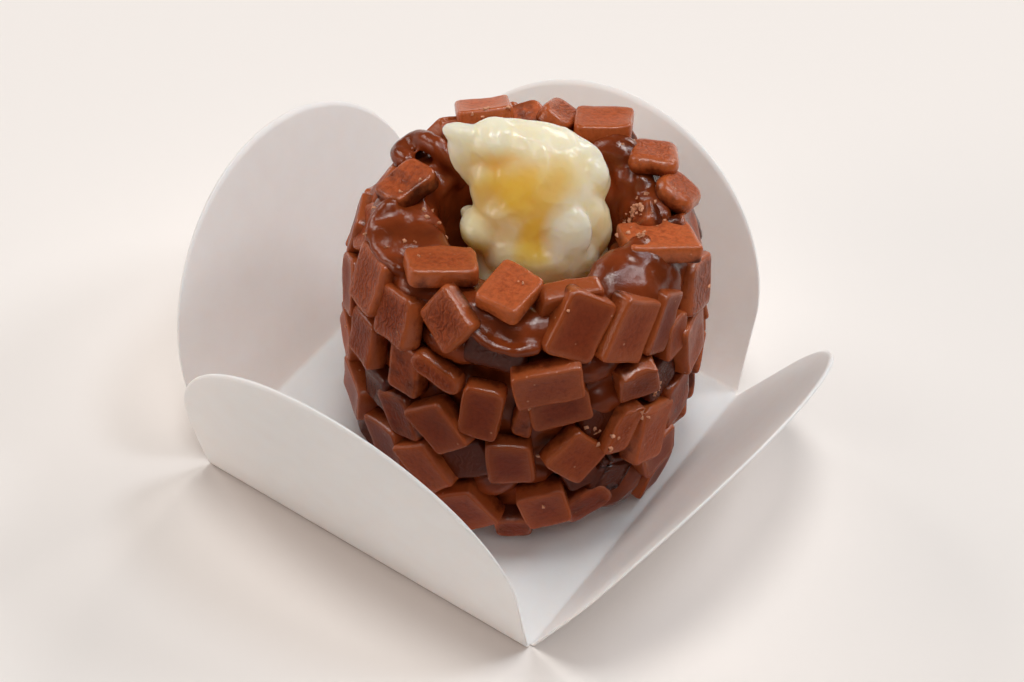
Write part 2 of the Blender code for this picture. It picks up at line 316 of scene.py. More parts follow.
# The listed blocks: angle, distance up the skin, turn, width, length, how far the face
# stands out of the skin, its tilt outwards at the top and at the side, and its finish.
shownBlocks = (
    (-10, 34.5, 46, 5.8, 3.9, 0.2, 12, 0, "broken"), (24, 34.2, -23, 4.0, 4.6, 0.6, 2, -3, "clean"),
    (50, 35.4, 0, 5.2, 2.6, -0.9, 70, 0, "dry"), (51, 30.7, -34, 4.4, 5.7, 0, -5, 9, "clean"),
    (69, 28.8, -33, 4.4, 5.6, 0, -5, 11, "clean"), (84, 27.2, -33, 3.4, 5.6, -0.3, -5, 11, "clean"),
    (90, 24.4, -10, 3.0, 3.8, -0.4, 0, 0, "clean"), (108, 26.3, -23, 5.0, 4.8, 0, -1, -5, "wrinkled"),
    (101, 21.3, 5, 4.2, 6.0, -0.1, 0, 0, "clean"), (86, 19.8, 10, 4.0, 4.4, -1.0, 0, 0, "coated"),
    (79.5, 14.5, -20, 4.7, 6.0, 0, 8, 6, "broken"), (95, 15.0, 5, 4.2, 6.0, -0.4, 0, 0, "sticky"),
    (40, 25.2, 12, 5.8, 4.1, 0.1, -12, -4, "clean"), (45, 21.6, 8, 5.2, 3.4, -0.8, 4, 0, "clean"),
    (22, 28.0, -5, 5.2, 3.6, -1.0, 0, 0, "coated"), (20, 21.6, -7, 3.5, 5.6, 0, 0, -1, "clean"),
    (6.3, 17.9, 47, 4.7, 4.8, 0, 5, -3, "clean"), (-10, 15.8, 25, 3.8, 4.8, -0.5, 0, 0, "sticky"),
    (-8, 22.5, 0, 3.3, 5.2, -0.3, 0, 0, "sticky"), (4, 24.3, -12, 4.8, 2.3, -0.1, 0, 0, "melted"),
    (4, 30.2, 56, 4.2, 4.4, 0.3, 8, -13, "wrinkled"), (-15.5, 27.6, 14, 4.6, 4.6, 0.1, 8, -8, "wrinkled"),
    (-32.3, 27.9, 12, 4.8, 5.3, 0.1, 5, -2, "wrinkled"), (-28.3, 21.9, 6, 4.2, 4.8, 0.1, 4, -1, "wrinkled"),
    (-52.5, 29.5, 44, 4.6, 4.2, -0.3, 0, 3, "melted"), (-65, 34.2, 50, 3.6, 4.7, 0.1, -8, -7, "sticky"),
    (-72, 29.9, 20, 3.8, 4.2, -0.5, 0, 0, "melted"), (-126, 32.7, -16, 4.8, 5.0, 0.4, 3, -2, "clean"),
    (-142, 35.0, 20, 4.4, 3.6, -0.5, 0, 0, "sticky"), (-160, 33.7, -6, 3.0, 4.6, 0, -11, -25, "wrinkled"),
    (-177.5, 33.4, 27, 5.0, 5.0, 0.4, -1, 13, "clean"), (154, 33.4, 50, 4.2, 5.2, 0.7, -6, 19, "melted"),
    (134.5, 32.2, 52, 3.8, 4.8, 0.5, 0, 4, "melted"), (107, 34.1, 27, 4.8, 6.1, -0.7, 3, 19, "clean"),
    (97, 38.5, 10, 3.0, 3.4, -0.5, 0, 0, "coated"), (30, 15.4, 6, 4.0, 4.8, 0, 0, 1, "clean"),
    (42.3, 8.6, 15, 4.1, 4.7, 0.1, 3, -1, "clean"), (51, 15.7, 40, 4.2, 4.9, 0, -2, 10, "clean"),
    (66, 17.5, -20, 2.6, 5.0, 0, 0, 0, "broken"), (66, 10.2, -25, 4.2, 4.4, -0.7, 0, 0, "coated"),
    (54, 11.8, 20, 3.2, 4.2, -0.9, 0, 0, "coated"), (57, 7.4, 30, 4.6, 3.6, -0.4, 0, 0, "sticky"),
    (16, 13.6, 30, 4.6, 4.2, -1.0, 0, 0, "coated"), (17, 7.2, 40, 4.2, 5.0, -0.1, 0, 0, "clean"),
    (33, 4.2, 5, 3.4, 3.4, -0.5, 0, 0, "sticky"), (2, 11.4, 42, 4.2, 5.2, 0, 0, 0, "clean"),
    (-15, 10.6, 20, 4.4, 4.8, -0.2, 0, 0, "clean"), (-36, 12.5, -15, 4.4, 5.2, 0, 0, 0, "clean"),
    (-22, 16.5, 10, 4.0, 4.2, -0.6, 0, 0, "coated"), (33.5, 20.4, -10, 1.8, 4.2, -0.9, 0, 0, "sticky"),
    (70.5, 22.6, 12, 3.6, 4.0, 0, -14, -16, "broken"), (60, 18.4, 0, 4.0, 4.6, -1.1, 0, 0, "coated"),
    (-46, 23.6, 30, 4.2, 5.0, 0, 0, 0, "clean"), (-45, 17.6, -20, 4.4, 5.2, -0.1, 0, 0, "clean"),
    (-62, 27.0, -10, 4.2, 5.2, 0, 0, 0, "clean"), (-121, 35.2, 10, 3.2, 2.0, -0.3, 0, 0, "broken"),
    (85, 10.0, 15, 4.4, 4.8, 0, 0, 0, "clean"), (90, 4.6, -15, 4.2, 4.6, -0.2, 0, 0, "clean"),
    (-111, 33.6, -30, 2.6, 2.2, -0.4, 0, 0, "broken"), (120, 29.4, -30, 4.4, 4.6, -0.5, 0, 0, "sticky"), (120, 36.6, 0, 2.6, 2.2, -0.3, 0, 0, "sticky"),
)
scatter = {
    "seed": 11,
    "firstCourse": 3.6,            # mm up the skin
    "coursePitch": 4.9,
    "courses": 6,
    "pitch": 5.5,                  # mm round the barrel
    "sides": (3.8, 5.6),
    "room": 4.6,                   # nearest that it puts one to a listed block
    "turn": 45,
    "tilt": 9,
}
random.seed(scatter["seed"])


def skinRadius(distance):
    placed = onSkin(90, distance)
    return (placed.translation - leaning(Vector((0, 0, placed.translation.z)))).length / mm


def scatteredBlocks():
    found = []
    for course in range(scatter["courses"]):
        distance = scatter["firstCourse"] + scatter["coursePitch"] * course
        radius = skinRadius(distance)
        count = round(2 * math.pi * radius / scatter["pitch"])
        for i in range(count):
            angle = 360 * (i + course % 2 / 2 + random.uniform(-0.15, 0.15)) / count
            up = distance + random.uniform(-0.7, 0.7)
            sides = [random.uniform(*scatter["sides"]) for side in range(2)]
            shown = -75 < (angle + 180) % 360 - 180 < 115    # the side with the listed blocks
            tilt = scatter["tilt"]
            entry = (angle, up, random.uniform(-1, 1) * scatter["turn"], *sides,
                     random.choice((0.1, 0, -0.1, -0.3, -0.6)) - shown * 0.9, random.uniform(-tilt, tilt),
                     random.uniform(-tilt, tilt),
                     random.choice(("clean", "clean", "wrinkled", "sticky", "coated")))
            near = False
            for other in shownBlocks:
                round_ = ((angle - other[0] + 180) % 360 - 180) * math.radians(1) * radius
                if math.hypot(round_, up - other[1]) < scatter["room"]:
                    near = True
            if not near:
                found.append(entry)
    return found


allBlocks = [*shownBlocks, *scatteredBlocks()]


def blockPlace(entry):
    angle, distance, turn, width, length, rise, lean, side, finish = entry
    return (onSkin(angle, distance, rise) @ turnAbout("Z", turn) @ turnAbout("X", -lean)
            @ turnAbout("Y", side))


def addGloss(bm):    # wettest where it faces up
    bm.normal_update()
    gloss = bm.verts.layers.float.new("gloss")
    for vert in bm.verts:
        vert[gloss] = max(0, min(1, vert.normal.z * 1.3 - 0.1))


def makeChocolate():
    # Milk chocolate, moulded in a sheet and cut to squares: satin, orange-brown, with fine pits
    # and pale specks. Blocks that face up are painted lighter and those on the side darker, as painted light and
    # shade. Its edges and side walls are lighter, partly wear and partly a painted highlight and glow. Some faces are
    # wrinkled where they began to melt, with painted shade in their valleys.
    # A dark film, partly wet fudge and partly painted shade of the gaps, lies on the side walls and clings mostly to
    # the sides that face up.
    chocolate, shader = newMaterial("cut milk chocolate")
    place = addNode(chocolate, "ShaderNodeTexCoord").outputs["Object"]
    painted = addNode(chocolate, "ShaderNodeAttribute", {"attribute_name": "look"})
    look = addNode(chocolate, "ShaderNodeSeparateColor", {}, {"Color": painted.outputs["Color"]})
    # The look's channels: tone, with painted light and shade by facing; edge, lighter partly from wear and partly a
    # painted highlight; and the film, clinging fudge together with painted shade on the side walls.
    tone, edge, clinging = (look.outputs[name] for name in ("Red", "Green", "Blue"))
    grain = addNode(chocolate, "ShaderNodeTexNoise", {}, {"Vector": place, "Scale": 1 / (0.4 * mm),
                                                          "Detail": 4, "Roughness": 0.65})
    patch = addNode(chocolate, "ShaderNodeTexNoise", {}, {"Vector": place, "Scale": 1 / (1.5 * mm),
                                                          "Detail": 5, "Roughness": 0.6})
    # The tone runs from a dark brown, painted shade for blocks on the side, to a light orange-brown, painted light
    # for blocks on top.
    body = addNode(chocolate, "ShaderNodeMix", {"data_type": "RGBA"},
                   {0: tone, 6: srgb("6C2410"), 7: srgb("C26236")})
    pits = addNode(chocolate, "ShaderNodeMapRange", {}, {"Value": grain.outputs["Fac"], "From Min": 0.42,
                                                         "From Max": 0.7, "To Max": 0.55})
    pitted = addNode(chocolate, "ShaderNodeMix", {"data_type": "RGBA"},
                     {0: pits.outputs["Result"], 6: body.outputs[2], 7: srgb("5E2410")})
    # Painted highlight and glow: edges and side walls are lightened towards B8602E, partly wear and partly the light
    # that rounded edges and translucent sides catch.
    wornAndLit = addNode(chocolate, "ShaderNodeMath", {"operation": "MULTIPLY"}, {0: edge, 1: 0.5})
    wornLitEdges = addNode(chocolate, "ShaderNodeMix", {"data_type": "RGBA"},
                    {0: wornAndLit.outputs[0], 6: pitted.outputs[2], 7: srgb("B8602E")})
    crumbs = addNode(chocolate, "ShaderNodeTexVoronoi", {}, {"Vector": place, "Scale": 1 / (1.6 * mm)})
    specks = addNode(chocolate, "ShaderNodeMapRange", {}, {"Value": crumbs.outputs["Distance"], "From Min": 0.03,
                                                           "From Max": 0.08, "To Min": 0.5, "To Max": 0.0})
    specked = addNode(chocolate, "ShaderNodeMix", {"data_type": "RGBA"},
                      {0: specks.outputs["Result"], 6: wornLitEdges.outputs[2], 7: srgb("E0A680")})
    # Painted shade: the dark film, 55200C, is partly wet fudge clinging to a block and partly painted shade of the
    # gaps, laid on the side walls, deepest low down on them and most where a side faces up.
    filmAndShade = addNode(chocolate, "ShaderNodeMath", {"operation": "ADD"}, {0: clinging, 1: patch.outputs["Fac"]})
    wetAndShaded = addNode(chocolate, "ShaderNodeMapRange", {}, {"Value": filmAndShade.outputs[0], "From Min": 0.8,
                                                        "From Max": 1.1})
    filmedAndShaded = addNode(chocolate, "ShaderNodeMix", {"data_type": "RGBA"},
                     {0: wetAndShaded.outputs["Result"], 6: specked.outputs[2], 7: srgb("55200C")})
    damp = addNode(chocolate, "ShaderNodeMath", {"operation": "MAXIMUM"}, {0: wetAndShaded.outputs["Result"], 1: edge})
    rough = addNode(chocolate, "ShaderNodeMapRange", {}, {"Value": damp.outputs[0], "To Min": 0.4,
                                                          "To Max": 0.22})
    gloss = addNode(chocolate, "ShaderNodeAttribute", {"attribute_name": "gloss"}).outputs["Fac"]
    upper = addNode(chocolate, "ShaderNodeMath", {"operation": "MULTIPLY"}, {0: damp.outputs[0], 1: gloss})
    shine = addNode(chocolate, "ShaderNodeMapRange", {}, {"Value": upper.outputs[0], "To Min": 0.14,
                                                          "To Max": 0.75})
    # Wrinkles half a millimetre apart, with painted shade dark in their valleys.
    ridges = addNode(chocolate, "ShaderNodeTexWave", {}, {"Vector": place, "Scale": 0.31 / (0.55 * mm),
                                                          "Distortion": 11, "Detail": 4, "Detail Scale": 2})
    middle = addNode(chocolate, "ShaderNodeMath", {"operation": "SUBTRACT", "use_clamp": True},
                     {0: painted.outputs["Alpha"], 1: edge})
    wrinkles = addNode(chocolate, "ShaderNodeMath", {"operation": "MULTIPLY"},
                       {0: ridges.outputs["Fac"], 1: middle.outputs[0]})
    valleys = addNode(chocolate, "ShaderNodeMath", {"operation": "SUBTRACT", "use_clamp": True},
                      {0: middle.outputs[0], 1: wrinkles.outputs[0]})
    # Painted shade: the valleys of the wrinkles, in the middle of a face, are darkened towards 4A1808.
    valleyShade = addNode(chocolate, "ShaderNodeMath", {"operation": "MULTIPLY"}, {0: valleys.outputs[0], 1: 0.4})
    final = addNode(chocolate, "ShaderNodeMix", {"data_type": "RGBA"},
                    {0: valleyShade.outputs[0], 6: filmedAndShaded.outputs[2], 7: srgb("4A1808")})
    bump = addNode(chocolate, "ShaderNodeBump", {"invert": True}, {"Height": grain.outputs["Fac"], "Strength": 0.6,
                                                                   "Distance": 0.09 * mm})
    wrinkle = addNode(chocolate, "ShaderNodeBump", {}, {"Height": wrinkles.outputs[0], "Strength": 0.8,
                                                        "Distance": 0.13 * mm, "Normal": bump.outputs["Normal"]})
    connect(chocolate, final.outputs[2], shader.inputs["Base Color"])
    connect(chocolate, rough.outputs["Result"], shader.inputs["Roughness"])
    connect(chocolate, shine.outputs["Result"], shader.inputs["Specular IOR Level"])
    connect(chocolate, wrinkle.outputs["Normal"], shader.inputs["Normal"])
    shader.inputs["IOR"].default_value = 1.46
    shader.inputs["Subsurface Weight"].default_value = 0.18
    shader.inputs["Subsurface Radius"].default_value = (1.0, 0.35, 0.12)
    shader.inputs["Subsurface Scale"].default_value = 0.45 * mm
    return chocolate


def blockBlank():    # a cube of two units, ready for addBlock to size and round
    bm = bmesh.new()
    bm.verts.layers.float_color.new("look")
    bmesh.ops.create_cube(bm, size=2)
    for axis, cuts in enumerate(block["cuts"]):
        along = [edge for edge in bm.edges if abs(edge.verts[0].co[axis] - edge.verts[1].co[axis]) > 1]
        bmesh.ops.subdivide_edges(bm, edges=along, cuts=cuts, use_grid_fill=True)
    blank = bpy.data.meshes.new("blank")
    bm.to_mesh(blank)
    bm.free()
    return blank


def stop(share, cuts, half, edge, corner):    # where a row of the blank goes along one side of a block
    steps = [0, edge * 0.42, edge, corner] if cuts > 5 else [0, edge * 0.42, edge]
    fromEdge = (1 - abs(share)) * (cuts + 1) / 2
    whole = min(len(steps) - 1, round(fromEdge))
    if fromEdge > len(steps) - 1:    # the middle rows are spread evenly
        left = (fromEdge - len(steps) + 1) / ((cuts + 1) / 2 - len(steps) + 1)
        return math.copysign(half - steps[-1] - (half - steps[-1]) * left, share)
    return math.copysign(half - steps[whole], share)


def rounded(point, halves, edge, corner):    # a point of a box, moved onto its rounded edges and corners
    inset = before = min(halves.x - abs(point.x), halves.y - abs(point.y))
    level = halves.z - abs(point.z)
    if inset < edge and level < edge:
        across = Vector((edge - inset, edge - level)).normalized() * edge
        inset, level = edge - across.x, edge - across.y
    x, y = (point[k] * (halves[k] - inset) / max(halves[k] - before, 0.01) for k in range(2))
    if before >= edge:
        x, y = point.x, point.y
    reach = max(corner - inset, 0)
    middle = Vector([max(inset + reach - halves[k], min(halves[k] - inset - reach, c)) for k, c in enumerate((x, y))])
    offset = Vector((x, y)) - middle
    if reach > 0 and offset.length > 0:
        offset = offset.normalized() * reach
    return Vector((*(middle + offset), math.copysign(halves.z - level, point.z)))


def addBlock(bm, blank, entry):
    angle, distance, turn, width, length, rise, lean, side, finish = entry
    clinging, wrinkled, ragged, melted = block["finishes"][finish]
    thickness = block["thickness"] * random.uniform(0.85, 1.1)
    edge = block["edge"] * random.uniform(0.8, 1.25) * (1 + 1.5 * melted)
    corner = block["corner"] * random.uniform(0.7, 1.4) * (1 + melted)
    halves = Vector((width, length, thickness)) / 2
    corner = min(corner, 0.45 * min(width, length))
    first = len(bm.verts)
    bm.from_mesh(blank)
    bm.verts.ensure_lookup_table()
    look = bm.verts.layers.float_color["look"]
    skew = [random.uniform(-1, 1) * block["skew"] for corner_ in range(4)]
    dent = block["dent"] * random.uniform(0.2, 1.3)
    shift = Vector((random.uniform(0, 99), random.uniform(0, 99), random.uniform(0, 99)))
    place = blockPlace(entry)
    side, top = block["paintedLightTones"]
    # Painted light and shade: a block's tone is random, plus more the more its face points up, so blocks on top are
    # painted lighter as if lit and those on the side darker as if shaded.
    tone = random.random() * 0.5 + side + (top - side) * min(1, max(0, place.col[2].z * 2 - 0.7))
    for vert in bm.verts[first:]:
        point = Vector([stop(vert.co[k], block["cuts"][k], halves[k], edge, corner) for k in range(3)])
        insets = [halves[k] - abs(point[k]) for k in range(2)]
        inset = min(insets)
        across = insets.index(inset)
        faces = place.col[across].z * math.copysign(1, point[across])    # how far its nearest side faces up
        point = rounded(point, halves, edge, corner)
        x, y = point.x / halves.x, point.y / halves.y
        depth = (halves.z - point.z) / thickness
        point.x += halves.x * (skew[0] * y + skew[1] * x * y)
        point.y += halves.y * (skew[2] * x + skew[3] * x * y)
        point.z -= dent * (1 - x ** 2) * (1 - y ** 2) * (1 - depth)
        point += noise.noise_vector(point / block["wobbleSize"] + shift) * block["wobble"]
        torn = ragged * max(0, y) ** 2
        point += noise.noise_vector(point / block["raggedSize"] + shift) * block["ragged"] * torn
        point.z -= halves.z
        vert.co = place @ (point * mm)
        # Edges are made lighter, partly wear and partly a painted highlight; side walls share the channel as a
        # painted glow.
        wornAndLit = max(0, 1 - inset / block["wornLitWidth"], torn * 1.6)
        walled = min(1, max(0, depth - 0.05) / 0.15)
        # The film on the side walls, deeper down them and more where a side faces up, is painted shade of the gaps
        # between blocks as well as clinging fudge.
        filmAndShade = clinging + walled * (max(0, faces) * 0.3 * depth + depth * 0.35)
        vert[look] = (tone, max(wornAndLit, walled), min(1, filmAndShade), wrinkled)
    sunk = case["card"] + 0.05 * mm - min(vert.co.z for vert in bm.verts[first:])
    for vert in bm.verts[first:]:
        vert.co.z += max(0, sunk)    # the lowest blocks rest on the card


def makeBlocks():
    blank = blockBlank()
    bm = bmesh.new()
    for entry in allBlocks:
        addBlock(bm, blank, entry)
    bpy.data.meshes.remove(blank)
    addGloss(bm)
    piece = addPiece("chocolateBlocks", bm, makeChocolate(), "chocolate", "brigadeiro")
    print(len(allBlocks), "chocolate blocks made")
    return piece


# Fudge barrel

fudge = {
    "voxel": 0.3 * mm,
    "softening": 6,
    "segments": 96,
    "collar": 1.2,                 # the bed of fudge under a block is this much wider than it
    "bedDepth": 3.3,               # mm from the block's face to the middle of its bed
    "lumps": 230,
    "lumpSizes": (1.6, 3.2),       # mm, radii
    "lumpRise": (-3.0, -1.7),
    "unevenSize": 3.5 * mm,
    "uneven": 0.22 * mm,
    "crinkleSize": 0.9 * mm,
    "crinkle": 0.07 * mm,
}
# Swells of bare fudge: angle, distance, turn, width, length, thickness and rise out of the skin.
swells = (
    (79, 32.6, -15, 7.4, 6.4, 3.6, -0.6), (95, 31.6, 5, 5.0, 6.6, 3.6, -0.5), (104, 30.0, 0, 4.6, 4, 3, -0.6),
    (-43, 35.0, 0, 10.0, 6.4, 2.4, -1.0), (-28, 33.4, 0, 7.0, 6.0, 2.6, -1.2), (-88, 33.8, 0, 6.6, 5.4, 3.0, -2.2),
    (169, 35.8, 20, 5.4, 3.6, 3.2, 0.7), (163, 40.3, 0, 3.8, 3.2, 2.6, 0.9), (-138, 33.8, 0, 5.0, 3.0, 3.0, -0.9),
    (18, 31.0, -12, 7.0, 3.4, 3.4, -0.5), (33, 30.4, 8, 6.0, 3.2, 3.4, -0.5), (5, 26.8, 0, 6.0, 3.4, 3.0, -0.9),
    (58, 25.2, 0, 6.0, 3.0, 3.0, -0.9), (74, 6.5, 0, 6.5, 6.0, 3.4, -0.4), (25, 10.0, 30, 5.0, 3.0, 3.0, -0.9),
    (130, 35.8, 20, 5.0, 3.0, 2.6, -0.6), (142, 37.0, -30, 4.0, 2.4, 2.4, -0.4), (160, 35.8, 0, 6.0, 3.6, 3.0, -0.5),
    (62, 20.6, 0, 5.0, 3.2, 3.0, -1.0), (35, 12.2, -20, 5.0, 2.6, 2.8, -1.0),
)
# Curled strands and lips of fudge: radius, then places as angle, distance and rise.
ropes = (
    (0.95, (-83, 32.4, -0.9), (-87, 31.2, -0.5), (-91, 30.7, -0.4), (-94.6, 31.2, -0.4), (-95, 32.6, -0.5),
     (-93.5, 34.0, -0.5), (-93, 35.5, -0.4), (-93, 37.3, -0.3), (-97, 39.5, -0.3)),
    (0.65, (-52, 33.1, -0.4), (-46.5, 31.2, -0.1), (-39, 30.8, -0.1), (-30, 30.9, -0.2), (-23, 31.4, -0.5)),
    (0.5, (-66, 37.0, -1.0), (-52, 37.8, -0.9), (-36, 37.4, -0.8), (-20, 36.9, -0.7), (-8, 36.7, -0.8)),
    (0.55, (12, 30.2, -0.3), (20, 29.4, -0.1), (28, 29.0, -0.1), (36, 29.2, -0.4)),
)
# Wet crinkled patches: angle, distance, radius and how much deeper the crinkle is there.
crinkled = (
    (147, 36.4, 2.4, 2.4), (132, 36.6, 1.8, 2.4), (125, 37.9, 1.5, 2.0), (-42, 31.0, 1.8, 1.4), (-28, 31.0, 1.6, 1.4),
    (-24, 36.5, 2.0, 1.6), (82, 33.5, 2.2, 0.8), (96, 31.0, 1.8, 0.8), (25, 30.0, 2.5, 1.0),
)


def makeFudgeFinish():
    # Brigadeiro fudge, condensed milk boiled down with cocoa: dark, sticky and glossy where it is
    # smooth, dull brown where it is crumbly.
    finish, shader = newMaterial("sticky cocoa fudge")
    place = addNode(finish, "ShaderNodeTexCoord").outputs["Object"]
    patch = addNode(finish, "ShaderNodeTexNoise", {}, {"Vector": place, "Scale": 1 / (3 * mm), "Detail": 4})
    fine = addNode(finish, "ShaderNodeTexNoise", {}, {"Vector": place, "Scale": 1 / (0.4 * mm), "Detail": 5,
                                                      "Roughness": 0.65})
    tone = addNode(finish, "ShaderNodeMix", {"data_type": "RGBA"},
                   {0: patch.outputs["Fac"], 6: srgb("340E02"), 7: srgb("A04820")})
    rough = addNode(finish, "ShaderNodeMapRange", {}, {"Value": patch.outputs["Fac"], "From Min": 0.35,
                                                       "From Max": 0.65, "To Min": 0.1, "To Max": 0.22})
    gloss = addNode(finish, "ShaderNodeAttribute", {"attribute_name": "gloss"}).outputs["Fac"]
    shine = addNode(finish, "ShaderNodeMapRange", {}, {"Value": gloss, "To Min": 0.12, "To Max": 0.6})
    bump = addNode(finish, "ShaderNodeBump", {}, {"Height": fine.outputs["Fac"], "Strength": 0.6,
                                                  "Distance": 0.07 * mm})
    connect(finish, shine.outputs["Result"], shader.inputs["Specular IOR Level"])
    connect(finish, tone.outputs[2], shader.inputs["Base Color"])
    connect(finish, rough.outputs["Result"], shader.inputs["Roughness"])
    connect(finish, bump.outputs["Normal"], shader.inputs["Normal"])
    shader.inputs["IOR"].default_value = 1.48
    shader.inputs["Subsurface Weight"].default_value = 0.15
    shader.inputs["Subsurface Radius"].default_value = (1.0, 0.4, 0.2)
    shader.inputs["Subsurface Scale"].default_value = 0.8 * mm
    return finish


def makeFudge():
    bm = bmesh.new()
    line = lineOf("fudge", 6)
    line.insert(0, Vector((0, 0, line[0].z)))
    line.append(Vector((0, 0, max(p.z for p in line) - barrel["holeDepth"])))
    verts = [bm.verts.new(p) for p in line]
    edges = [bm.edges.new(pair) for pair in zip(verts, verts[1:])]
    bmesh.ops.spin(bm, geom=verts + edges, axis=(0, 0, 1), cent=(0, 0, 0), steps=fudge["segments"],
                   angle=2 * math.pi, use_merge=True)
    bmesh.ops.remove_doubles(bm, verts=bm.verts, dist=0.001 * mm)
    bmesh.ops.recalc_face_normals(bm, faces=bm.faces)
    for vert in bm.verts:
        vert.co = leaning(vert.co)
    for angle, distance, turn, width, length, rise, *rest in allBlocks:
        place = onSkin(angle, distance, rise - fudge["bedDepth"]) @ turnAbout("Z", turn)
        ellipsoid(bm, place, Vector((width * fudge["collar"], length * fudge["collar"], 2.8)) / 2 * mm)
    for angle, distance, turn, width, length, thickness, rise in swells:
        place = onSkin(angle, distance, rise - thickness / 2) @ turnAbout("Z", turn)
        ellipsoid(bm, place, Vector((width, length, thickness)) / 2 * mm, 4)
    for radius, *stops in ropes:
        path = smoothLine([onSkin(*point).translation for point in stops], 12)
        for point in path:
            bmesh.ops.create_icosphere(bm, subdivisions=2, radius=radius * mm, matrix=Matrix.Translation(point))
    for i in range(fudge["lumps"]):
        radii = [random.uniform(*fudge["lumpSizes"]) for axis in range(2)] + [1.4]
        rise = random.uniform(*fudge["lumpRise"])
        place = onSkin(random.uniform(-180, 180), random.uniform(2.5, 33), rise - radii[2])
        ellipsoid(bm, place @ turnAbout("Z", random.uniform(0, 180)), Vector(radii) * mm)
    bm = remeshed(bm, fudge["voxel"], fudge["softening"])
    bm.normal_update()
    patches = [(onSkin(angle, distance).translation, radius * mm, deeper) for angle, distance, radius, deeper in crinkled]
    for vert in bm.verts:
        uneven = noise.fractal(vert.co / fudge["unevenSize"], 1, 2, 3) * fudge["uneven"]
        crinkle = noise.noise(vert.co / fudge["crinkleSize"]) * fudge["crinkle"]
        for middle, radius, deeper in patches:
            crinkle *= 1 + deeper * max(0, 1.2 - (vert.co - middle).length / radius)
        vert.co += vert.normal * (uneven + crinkle)
        vert.co.z = max(vert.co.z, case["card"] + 0.05 * mm)
    addGloss(bm)
    piece = addPiece("fudgeBarrel", bm, makeFudgeFinish(), "chocolate", "brigadeiro")
    print("fudge made,", len(piece.data.polygons), "faces")
    return piece


# Crumbs

crumbs = {
    "seed": 5,
    "sizes": (0.08, 0.24),         # mm, radii
    "scattered": 22,
    # Where they gather: angle, distance, how far they spread and how many.
    "gathered": ((125, 37.7, 0.6, 34), (126, 36.6, 0.9, 16), (77, 19, 0.7, 16), (60, 17.4, 0.6, 10),
                 (-45, 34.4, 2.4, 16), (-119, 35.5, 1.0, 9), (-133, 35.0, 1.2, 6), (103, 35.8, 0.9, 8)),
}


def makeCrumbs(*grounds):    # splinters of the cut chocolate, each stuck where it fell
    random.seed(crumbs["seed"])
    graph = bpy.context.evaluated_depsgraph_get()
    trees = [BVHTree.FromObject(ground, graph) for ground in grounds]
    spots = []
    for angle, distance, spread, count in crumbs["gathered"]:
        for i in range(count):
            spots.append((angle + random.gauss(0, spread) * 4.5, distance + random.gauss(0, spread)))
    for i in range(crumbs["scattered"]):
        spots.append((random.uniform(-180, 180), random.uniform(5, 36)))
    bm = bmesh.new()
    for angle, distance in spots:
        place = onSkin(angle, distance, 5)
        hits = [tree.ray_cast(place.translation, -place.col[2].to_3d(), 9 * mm) for tree in trees]
        hits = [hit for hit in hits if hit[0]]
        if hits:
            ground = min(hits, key=lambda hit: hit[3])
            radii = Vector([random.uniform(*crumbs["sizes"]) for axis in range(3)])
            at = Matrix.Translation(ground[0]) @ turnAbout("Z", random.uniform(0, 360)) @ turnAbout("X", random.uniform(0, 90))
            shift = Vector((random.uniform(0, 99), 0, 0))
            for vert in ellipsoid(bm, at, radii * mm, 2):
                vert.co += noise.noise_vector(vert.co / (0.22 * mm) + shift) * 0.22 * mm
    splinter, shader = newMaterial("milk chocolate splinters")    # dry, paler than the blocks' faces
    place = addNode(splinter, "ShaderNodeTexCoord").outputs["Object"]
    patch = addNode(splinter, "ShaderNodeTexNoise", {}, {"Vector": place, "Scale": 1 / (1.2 * mm), "Detail": 2})
    tone = addNode(splinter, "ShaderNodeMix", {"data_type": "RGBA"}, {0: patch.outputs["Fac"], 6: srgb("C07850"),
                                                                      7: srgb("EEB896")})
    connect(splinter, tone.outputs[2], shader.inputs["Base Color"])
    shader.inputs["Roughness"].default_value = 0.5
    shader.inputs["Specular IOR Level"].default_value = 0.3
    piece = addPiece("chocolateCrumbs", bm, splinter, "chocolate")
    print("crumbs made,", len(piece.data.polygons), "faces")
    return piece


# Cream filling

cream = {
    "voxel": 0.2 * mm,
    "softening": 12,
    "facing": 32,                  # the heap's front, as the barrel's angles
    "foldSize": 2.6 * mm,
    "fold": 0.16 * mm,
    "creaseSize": 0.9 * mm,
    "crease": 0.10 * mm,
    # Lobes of the heap, in mm from the middle of the rim: how far across, forward and up, its
    # radii in the same order, how far its left end is raised and how far its top leans back.
    "lobes": (
        ((0.7, 0.2, -7.2), (6.3, 6.4, 6.0), 0, 0), ((-3.75, 1.6, -1.4), (2.2, 2.2, 2.0), 0, 0),
        ((0.9, 2.7, -2.7), (4.9, 3.2, 3.2), 0, 0), ((0.5, 1.1, 0.9), (4.9, 2.7, 6.2), 0, 27),
        ((0.3, -1.8, 4.3), (5.6, 2.6, 2.5), 12, 0), ((-5.8, -1.6, 5.8), (2.2, 1.0, 1.1), 26, 0),
        ((-5.2, -1.4, 3.2), (1.5, 1.3, 3.6), -25, 0), ((-3.2, -1.7, 5.0), (2.4, 2.2, 2.4), 0, 0),
        ((4.9, -0.9, 2.4), (1.5, 1.6, 2.4), -12, 0), ((4.9, 0.9, -1.0), (1.8, 2.2, 3.4), -8, 0),
        ((3.0, 3.9, -0.2), (1.9, 1.0, 3.0), 18, 22), ((-5.2, 0.2, -1.0), (0.9, 0.8, 0.6), 0, 0),
        ((-3.2, 0.0, 1.6), (2.0, 2.2, 3.2), -14, 14),
    ),
    # Where it is painted amber, a painted glow and shade for light deep in the cream, given in the same way, and
    # where it is pale again.
    "glowHollows": (((-1.4, 2.4, 3.2), (6.8, 5.0, 4.0)), ((0.4, 4.0, 0.0), (2.6, 4.0, 4.8))),
    "tongue": ((3.2, 3.8, 0.6), (2.4, 2.6, 3.0)),
    "glowNoiseSize": 2.4 * mm,
}


